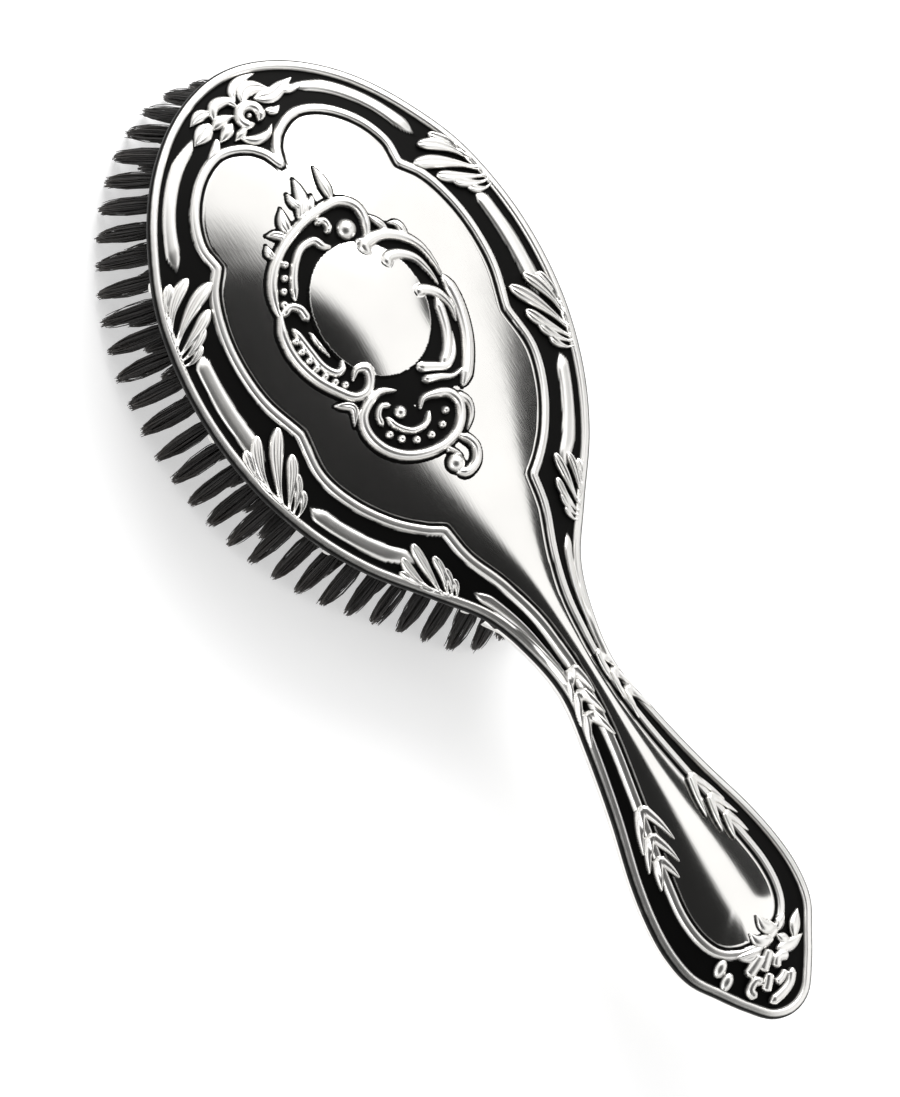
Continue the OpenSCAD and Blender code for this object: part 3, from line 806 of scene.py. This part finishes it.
def rose_spray():
    """A rose between leaves, at the head's tip."""
    leaves = [
        ([(8.4, 1), (6.4, 2.6), (6.2, 5), (8.4, 8.4)], 1.9),
        ([(8.4, 3.6), (9.6, 7.4), (9, 11), (8.4, 14.4)], 1.9),
        ([(9, 9.5), (10.2, 12), (11, 15)], 1.2),
        ([(7.4, -0.5), (4.6, 0.6), (3.6, 3.4), (3.8, 7.5)], 1.2),
        ([(11.6, 4.4), (12.8, 6), (12.4, 8)], 1.1),
        ([(8.4, -8), (9.6, -10.2), (11, -13.6)], 2.1),
        ([(6.6, -6.4), (6, -9), (7, -12)], 1.4),
        ([(12, -8.6), (13.8, -10.2), (15, -13)], 1.1),
    ]
    petals = [
        ([(8.4, -7), (5.8, -5), (6.2, -1.8), (8.8, -0.6)], 1.5),
        ([(10, -8.4), (9.2, -5.6), (9.6, -2.4)], 1.45),
        ([(10.8, -3.8), (12, -6), (13.2, -8.6)], 1.45),
        ([(14.6, -4.2), (16.4, -1.4), (16.4, 1.6), (15, 3.8)], 1.3),
        ([(13.2, -1.6), (13.8, -3.8), (14.4, -5.6)], 1.1),
    ]
    heart = (11.2, 0.5)
    ring = [(heart[0] + 2.2 * math.cos(a), heart[1] + 2.4 * math.sin(a)) for a in np.linspace(0.4, 6.2, 9)]

    def draw(relief, grid):
        for points, half in leaves:
            stroke(relief, grid, points, half, 1.15, shape=leaf_width, vein=0.25)
        for points, half in petals:
            stroke(relief, grid, points, half, 1.6, shape=leaf_width)
        stroke(relief, grid, ring, 1.3, 2.0, shape=band_width)
        boss(relief, grid, heart, 0.7, 1.3)
        boss(relief, grid, (13.5, -10.2), 0.7, 0.9)

    struck_piece("rose_spray", [relief_patch((1.2, -16), (19.5, 17), 0.17, draw)])


# nested chevrons of each husk: the point, then the ends of the outer and inner arm
HUSKS = [
    [((146.5, 3.6), (153, 6.8), (153.5, 2.4)), ((151.5, 4.6), (158.5, 7.8), (158.5, 2.8)),
     ((156.5, 5.4), (163.5, 8.6), (163.5, 3.4))],
    [((179.5, 7), (188.5, 11.6), (189, 4.6)), ((185.5, 8.4), (192.5, 12.6), (193.5, 6.2)),
     ((190.5, 9.6), (197, 12.4), (196.5, 8))],
]


def husks():
    """Wheat-like husks that clasp the rail on the handle."""
    parts = []
    for chevrons in HUSKS:
        spots = np.array([p for chevron in chevrons for p in chevron])

        def draw(relief, grid):
            for point, outer, inner in chevrons:
                for end, bow in ((outer, 0.03), (inner, -0.03)):
                    along = np.subtract(end, point)
                    middle = point + 0.5 * along + bow * np.array([-along[1], along[0]])
                    stroke(relief, grid, [point, middle, end], 1.25, 1.45, shape=dart_width)
                boss(relief, grid, (point[0] + 0.6, point[1]), 1.15, 1.5)

        parts.append(relief_patch(spots.min(0) - 1.6, spots.max(0) + 1.6, 0.16, draw))
    struck_piece("husks", parts, BOTH_SIDES)


def tip_cluster():
    """A cluster of petals and pointed leaves at the end of the handle."""
    petals = [
        ([(222.5, -6), (221.5, -3.5), (220.5, -1)], 1.1),
        ([(223.5, -2.5), (221.8, -0.5), (220.3, 1.5)], 1.05),
        ([(224.5, 0.7), (222.8, 2.4), (223.6, 5)], 0.95),
        ([(227.5, -6.4), (225.4, -6.8), (224.3, -4.8), (225.6, -3.6)], 0.85),
        ([(227.5, -4), (226, -2.4), (224.4, -1.2)], 0.95),
        ([(227.2, -1), (226.8, 1), (226, 2.6)], 0.8),
        ([(230, -4.2), (229.8, -1), (228.8, 2.2), (226.4, 4.4)], 0.95),
    ]
    leaves = [
        ([(217, 5.5), (215.5, 3), (212.4, 2.4)], 1.15),
        ([(217, 5), (217, 6.6), (215.5, 9)], 1.0),
        ([(219, 3.4), (217.5, 0), (214.8, -1.2)], 1.1),
        ([(218.8, 0), (219.2, -3), (217.5, -6.4)], 1.0),
        ([(221, 3), (222.2, 7), (222, 11)], 1.1),
        ([(221.5, 7), (219.8, 5.6), (218.4, 4.6)], 0.9),
        ([(221.5, 8.4), (219, 10.6), (216.8, 13)], 1.1),
    ]

    def draw(relief, grid):
        for points, half in leaves:
            stroke(relief, grid, points, half * 1.5, 1.35, shape=leaf_width)
        for points, half in petals:
            stroke(relief, grid, points, half * 1.4, 1.7, shape=band_width)
        for spot in ((217.8, -10.2), (221, -10.3)):
            boss(relief, grid, spot, 2.2, 1.5, squash=0.68, turn=2.2)

    struck_piece("tip_cluster", [relief_patch((210.5, -14), (233, 15), 0.16, draw)])


def cartouche():
    """The applied cartouche: an oval reserve in a frame of scrolls, with a ring and a volute under it."""
    # the outer frame, from its curl over the gem down the left side to its lower curl
    frame_top = [(45.5, 4.5), (46, 7), (42.5, 9), (39, 8.8), (36.5, 6), (36, 1.5), (36.8, -4.5),
                 (38.5, -9.5), (41, -13.5), (44, -16.4), (47.5, -18.2), (51.5, -19.4)]
    frame_foot = [(50, -18.4), (55, -20.6), (60.5, -21), (66, -19.6), (70.5, -17), (73.5, -14.5),
                  (74, -11.8), (72.5, -9.6), (70, -8.8), (69, -10.8), (70.5, -12.8)]
    # its right side, and the scroll over the reserve
    frame_right = [(61, 18.2), (65.5, 18.3), (69.5, 17.6), (74, 16), (77.8, 13.8), (81.2, 11), (83.6, 8.2)]
    top_scroll = [(49.5, 5.5), (47.2, 5.8), (46.8, 8.4), (47.6, 11.8), (50, 15), (53.2, 17.2), (57, 18),
                  (62, 18)]
    # the ring under the reserve
    ring = [(77, -5.6), (75.4, -9), (76.2, -12.5), (78.4, -15.2), (82, -16), (86, -14.8), (89.2, -12),
            (91.2, -8.2), (92, -3.6), (91.2, 0.8), (89, 3.8), (86, 5.4), (83.2, 4.4), (81.8, 1.4),
            (81.4, -1.4), (83, -3.2)]
    bands = [
        (frame_top, 1.2, 1.9),
        (frame_foot, 1.15, 1.9),
        # scrolls inside the frame
        ([(44, -1), (43, -2.6), (41, -3.8), (41, -7), (43, -9.8), (46, -12.2), (50, -14.3)], 1.0, 1.5),
        ([(51.5, -18.4), (50.5, -16.2), (52, -14.4), (55, -14.2)], 1.0, 1.7),
        ([(54.5, -18), (60.5, -17.4), (64.5, -16.8), (67.2, -15.2), (67.2, -13.4), (65.6, -12.6)], 0.95, 1.6),
        ([(38, -1.4), (38.4, 0.6), (40.2, 0.8), (41, -0.4)], 0.85, 1.5),
        ([(64.5, 13.9), (68, 13.2), (72, 11.8), (75.5, 9.4), (77.8, 6.2)], 1.25, 1.6),
        (frame_right, 1.5, 1.7),
        (ring, 1.2, 1.9),
        # crescent and scroll inside the ring
        ([(80.6, -10.6), (83.4, -9.8), (86, -7.2), (86.2, -3.8), (84.2, -1.6)], 0.8, 1.5),
        ([(79, -8.4), (78.2, -10.4), (79.6, -12), (82, -12.4)], 0.75, 1.4),
        # the volute at the foot
        ([(92, 1), (93.5, 2.6), (96, 3.2), (98.5, 1.6), (99.4, -1.2), (98.4, -3.6)], 1.1, 1.9),
    ]
    lobes = [
        (top_scroll, 1.7, 1.9),
        ([(54, 8), (52, 8.8), (52.6, 11.8), (55, 14.6), (58.4, 15.8), (62.5, 16.2)], 1.6, 1.9),
        ([(62, 10), (61.6, 12), (64, 15), (67.6, 16), (71, 15.2)], 1.6, 1.8),
        ([(75, 1.2), (76.6, 4.4), (78, 7.6), (76.4, 10.6), (72.5, 13)], 1.35, 1.7),
        ([(78, 0.8), (79.2, 4.4), (80.6, 7.8), (80, 11.2)], 1.1, 1.7),
        ([(84.2, 5.8), (86.8, 7.4), (89.6, 6.4), (92, 3.6)], 1.1, 1.6),
        ([(93, -2.6), (94.6, -1.2), (96, -0.4)], 0.8, 1.2),
    ]
    leaves = [
        ([(36.5, -4), (33, -1.2), (30, -0.2), (27.5, 0.2)], 1.6),
        ([(35, -1.4), (34, 0.4), (32.4, 1.6)], 0.9),
        ([(34, -2.4), (31.6, -3), (29.6, -3)], 0.9),
        ([(35.6, 5), (31.6, 5.6), (27.5, 5.8)], 1.25),
        ([(37.5, -7.6), (34.6, -7.2), (31.6, -6)], 1.4),
        ([(37.6, -8.4), (36, -10.2), (35, -12)], 1.1),
        ([(40, -13.4), (38.4, -13.6), (36.8, -13.2)], 0.9),
        ([(47, 12.6), (44.5, 11.4), (42, 10.2)], 0.95),
        ([(50.5, 15.8), (47, 15.4), (45.6, 13.4)], 0.95),
        ([(73, -19), (75.4, -15.8), (79, -17.6)], 1.0),
        ([(57, -15.2), (60.5, -15), (64, -14.2)], 0.5),
    ]
    # radius and rise of the gem over the reserve, the ring's boss and the volute's eye
    gems = [((42.4, 4.1), 2.4, 2.3), ((81.3, -7.4), 1.5, 1.8), ((96.6, -2.6), 2.1, 2.1)]
    pearls = [(42.3, -12), (44.7, -13.7), (47, -15.4), (49.4, -16.8), (57.3, -18.9), (59.8, -19),
              (62.2, -18.6), (64.4, -18.2), (66.7, -17.4), (68.8, -16.2), (70.4, -14.6)]
    teeth = [(84.2, -12), (86.3, -10.2), (88.1, -7.4), (88.8, -4), (88.2, -0.6), (86, 1.8)]
    beads = [(spot, 0.9) for spot in pearls] + [(spot, 0.95) for spot in teeth]
    frame_ground = [*frame_top[1:], *frame_foot[1:7], (78, -9), (82, -3), (81, 3),
                    *frame_right[::-1], *top_scroll[::-1]]
    # the oval reserve: its centre, half length, half width, bulge and the height of its edge
    centre, half_long, half_wide, bulge = (59.4, -0.6), 15.4, 13.2, 1.3
    level = base_height(59.0, 0.0) + 0.15

    def draw(relief, grid):
        u, v = grid
        oxidised_ground(relief, grid, frame_ground)
        oxidised_ground(relief, grid, ring)
        q = np.hypot((u - centre[0]) / half_long, (v - centre[1]) / half_wide)
        dome = level + bulge * (1 - q ** 2) - base_height(u, v)
        plaque = q < 1
        raise_to(relief, plaque, dome[plaque], np.where(q < 0.975, 1.0, 0.1)[plaque])
        # the skirts given below are dark rims of painted shade round the leaves, lobes, bands, gems and beads
        for points, half in leaves:
            stroke(relief, grid, points, half, 1.5, shape=leaf_width, vein=0.2, shade_skirt=0.55)
        for rows, shape, shade_skirt in ((lobes, dart_width, 0.5), (bands, band_width, 0.6)):
            for points, half, rise in rows:
                stroke(relief, grid, points, half, rise, shape=shape, shade_skirt=shade_skirt)
        for spot, radius, rise in gems:
            boss(relief, grid, spot, radius, rise, shade_skirt=0.5)
        for spot, radius in beads:
            boss(relief, grid, spot, radius, 1.5, shade_skirt=0.3)

    patch = relief_patch((25.5, -23.5), (101.5, 20.5), 0.23, draw)
    struck_piece("cartouche", [patch], replaced=["cartouche_frame"])


acanthus_clips()
rose_spray()
husks()
tip_cluster()
cartouche()


# ---- bristles ----
# places along a bristle from the board to its tip, and its thickness there, as shares
LEVELS = np.array([0.0, 0.4, 0.68, 0.87, 1.0])
TAPER = np.array([1, 1, 0.95, 0.85, 0.55])
SIDES = 3
# locks that the bristles of a tuft gather in, and how far from its middle, as a share of its radius
LOCKS = 5
LOCK_REACH = 0.62
# radius of a tuft where it leaves the board, and how deep in the board the bristles start
ROOT_RADIUS = 1.14
ROOT_DEPTH = 1.2
# bristles in a tuft of the outer row, and in any other
BORDER_COUNT = 96
ROW_COUNT = 72


def tuft_axes(node):
    """Root centre, tip centre and tip radius of each tuft in a CAD node, in millimetres."""
    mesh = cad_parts[node].data
    points = np.array([vertex.co for vertex in mesh.vertices]) / MM
    # points that edges join share a group, and each group is a tuft
    places, near = np.unique(np.round(points, 4), axis=0, return_inverse=True)
    pairs = near.ravel()[np.array([edge.vertices[:] for edge in mesh.edges])]
    group, before = np.arange(len(places)), None
    while not np.array_equal(group, before):
        before = group.copy()
        np.minimum.at(group, pairs, group[pairs].min(1, keepdims=True))
        group = group[group]
    axes = []
    for g in np.unique(group):
        p = places[group == g]
        tip = p[p[:, 2] < p[:, 2].min() + 0.02]
        root = p[p[:, 2] > p[:, 2].max() - 1.3]
        radius = (tip.max(0) - tip.min(0))[1] / 2
        axes.append(((root.min(0) + root.max(0)) / 2, (tip.min(0) + tip.max(0)) / 2, radius))
    return sorted(axes, key=lambda a: (round(a[1][0], 2), round(a[1][1], 2)))


def hair_lines(root, tip, tip_radius, count):
    """Points along each bristle of a tuft, and each bristle's thickness."""
    start = root + (tip - root) * max((root[2] - FACE_Z - ROOT_DEPTH) / (root[2] - tip[2]), 0)
    outward = np.sqrt(rng.random(count))
    turn = rng.random(count) * 2 * math.pi
    offset = np.stack([outward * np.cos(turn), outward * np.sin(turn)], 1)
    lock_turn = (np.arange(LOCKS) + rng.random(LOCKS) * 0.5) * 2 * math.pi / LOCKS + rng.random() * 6
    lock_at = np.stack([np.cos(lock_turn), np.sin(lock_turn)], 1) * LOCK_REACH
    nearest = ((offset[:, None] - lock_at[None]) ** 2).sum(2).argmin(1)
    end = offset * 0.24 + lock_at[nearest] * 0.18 + rng.normal(0, 0.11, (count, 2))
    bend = rng.normal(0, 0.2, (count, 2))
    # the outer bristles end higher, so that the tuft comes to a point
    rise = rng.random(count) ** 1.6 * 2.2 + 2.4 * outward ** 3
    width = rng.uniform(0.115, 0.16, count)
    line = np.zeros((count, len(LEVELS), 3))
    for k, f in enumerate(LEVELS):
        centre = start + (tip - start) * f
        gather = f ** 4
        body = ROOT_RADIUS + (tip_radius * 1.08 - ROOT_RADIUS) * math.sqrt(f)
        across = offset * body * (1 - gather) + end * tip_radius * gather
        across += bend * math.sin(math.pi * f) * 0.9
        line[:, k, :2] = centre[:2] + across
        line[:, k, 2] = centre[2] + rise * f
    return line, width


def tuft_hairs(root, tip, tip_radius, count):
    """Vertices, faces and colours of one tuft of tapered bristles, cut flat where the brush rests."""
    line, width = hair_lines(root, tip, tip_radius, count)
    along = line[:, -1] - line[:, 0]
    along /= np.linalg.norm(along, axis=1)[:, None]
    side = np.cross(along, [0.3, 0.9, 0.1])
    side /= np.linalg.norm(side, axis=1)[:, None]
    other = np.cross(along, side)
    twist = rng.random(count) * 2 * math.pi
    rings = np.zeros((count, len(LEVELS), SIDES, 3))
    for j in range(SIDES):
        a = twist + j * 2 * math.pi / SIDES
        out = side * np.cos(a)[:, None] + other * np.sin(a)[:, None]
        rings[:, :, j] = line + out[:, None] * (width[:, None] * TAPER[None])[..., None]
    rings[..., 2] = np.maximum(rings[..., 2], 0.0)
    base = np.arange(count)[:, None] * len(LEVELS) * SIDES
    last = base + (len(LEVELS) - 1) * SIDES
    quads = []
    for j in range((len(LEVELS) - 1) * SIDES):
        m = j + 1 if (j + 1) % SIDES else j + 1 - SIDES
        quads.append(base + [j, m, m + SIDES, j + SIDES])
    tris = [base + [2, 1, 0], last + [0, 1, 2]]
    share = np.repeat(np.tile(LEVELS, count), SIDES)
    tone = np.repeat(rng.random(count), len(LEVELS) * SIDES)
    return rings.reshape(-1, 3), np.vstack(quads), np.vstack(tris), share, tone


def bristles(node, count):
    """The bristles of all the tufts of one CAD node, in one piece."""
    parts, n = [], 0
    for root, tip, radius in tuft_axes(node):
        verts, quads, tris, share, tone = tuft_hairs(root, tip, radius, count)
        parts.append((verts, quads + n, tris + n, share, tone))
        n += len(verts)
    verts, quads, tris, share, tone = (np.concatenate(p) for p in zip(*parts))
    build_mesh(node.replace("tuft", "bristles"), verts * MM, [quads, tris], BRISTLE,
               {"along": share, "tone": tone}, [node])


for name in sorted(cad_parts):
    if name.startswith("tuft_"):
        bristles(name, BORDER_COUNT if name == "tuft_border" else ROW_COUNT)


# ---- CAD nodes that stay ----
FINISHES = {
    "rim_band": BAND, "handle_front_shell": BAND, "rim_pins": BAND, "bristle_board": BOARD_WOOD,
    "backing_veneer": VENEER_WOOD, "neck_tang": STEEL, "back_cement": PITCH, "handle_cement": PITCH,
}
for name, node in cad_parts.items():
    finish = BRASS if name.startswith("draw_wire") else FINISHES.get(name)
    if finish is not None:
        node.data.materials.clear()
        node.data.materials.append(finish)


# ---- camera, floor and light ----
def look(azimuth, elevation, roll, target, distance):
    """The camera's matrix. At azimuth 0 it looks along +Y; roll turns it about its own axis."""
    turn = Matrix.Rotation(azimuth, 4, "Z") @ Matrix.Rotation(math.pi / 2 - elevation, 4, "X")
    turn = turn @ Matrix.Rotation(roll, 4, "Z")
    return Matrix.Translation(Vector(target) + turn.col[2].xyz * distance) @ turn


def view_camera():
    """A long lens that looks down on the back, with the handle towards the lower right."""
    data = bpy.data.cameras.new("camera")
    data.lens = 135
    data.clip_start = 0.01
    camera = placed("camera", data)
    target = (-0.00302, -0.0116, 0.02976)
    camera.matrix_world = look(azimuth=-0.096, elevation=1.15, roll=1.106, target=target, distance=0.8716)
    bpy.context.scene.camera = camera


def soft_light(name, direction, distance, size, power):
    """A rectangular light that faces the origin."""
    data = bpy.data.lights.new(name, "AREA")
    data.shape = "RECTANGLE"
    data.size, data.size_y = size
    data.energy = power
    light = placed(name, data)
    d = Vector(direction).normalized()
    light.location = d * distance
    light.rotation_euler = d.to_track_quat("Z", "Y").to_euler()


def floor():
    """A white floor a fifth of a millimetre under the bristle tips."""
    mesh = bpy.data.meshes.new("floor")
    half = 6.0
    corners = [(-half, -half, 0), (half, -half, 0), (half, half, 0), (-half, half, 0)]
    mesh.from_pydata(corners, [], [(0, 1, 2, 3)])
    fixed = {"Base Color": (0.65, 0.65, 0.65, 1), "Roughness": 0.9,
             "Emission Color": (1, 1, 1, 1), "Emission Strength": 0.5}
    mat, shader, add, _ = new_material("floor", fixed)
    # from underneath it lets the brush be seen
    under = add("ShaderNodeNewGeometry").outputs["Backfacing"]
    clear = add("ShaderNodeBsdfTransparent").outputs[0]
    mixed = add("ShaderNodeMixShader", {0: under, 1: shader.outputs[0], 2: clear}).outputs[0]
    mat.node_tree.links.new(mixed, mat.node_tree.nodes["Material Output"].inputs["Surface"])
    mesh.materials.append(mat)
    obj = placed("floor", mesh)
    obj.location.z = -0.2 * MM


def studio_world():
    """A pale studio, dim below the horizon, with two dark discs overhead that the silver mirrors."""
    world = bpy.data.worlds.new("studio")
    bpy.context.scene.world = world
    world.use_nodes = True
    add = node_adder(world.node_tree)
    background = world.node_tree.nodes["Background"]
    background.inputs["Color"].default_value = (1, 1, 1, 1)
    coords = add("ShaderNodeTexCoord").outputs["Generated"]

    def eased(value, limits):
        """A value mapped between limits along an S-curve."""
        inputs = {"Value": value, **limits}
        return add("ShaderNodeMapRange", inputs, interpolation_type="SMOOTHSTEP").outputs[0]

    def disc(direction, radius, soft):
        """0 inside a disc round a direction, 1 outside it. Angles are in degrees."""
        ends = {0: coords, 1: Vector(direction).normalized()}
        dot = add("ShaderNodeVectorMath", ends, operation="DOT_PRODUCT").outputs["Value"]
        inner, outer = (math.cos(math.radians(angle)) for angle in (radius - soft, radius + soft))
        return eased(dot, {"From Min": inner, "From Max": outer})

    height = add("ShaderNodeSeparateXYZ", {0: coords}).outputs["Z"]
    horizon = eased(height, {"From Min": 0.02, "From Max": 0.3, "To Min": 0.08, "To Max": 1.12})
    flags = maths(add, "MULTIPLY", disc((0.16, -0.36, 0.92), 37, 3), disc((0.12, 0.77, 0.63), 8.3, 0.7))
    strength = maths(add, "ADD", maths(add, "MULTIPLY", flags, horizon), 0.02)
    world.node_tree.links.new(strength, background.inputs["Strength"])


view_camera()
floor()
studio_world()
soft_light("key", direction=(-0.62, 0.50, 0.62), distance=1.3, size=(0.9, 0.9), power=16)
soft_light("fill", direction=(0.1, -0.95, 0.3), distance=1.5, size=(1.0, 0.3), power=3)

bpy.context.scene.view_settings.view_transform = "Standard"
bpy.context.scene.view_settings.look = "None"
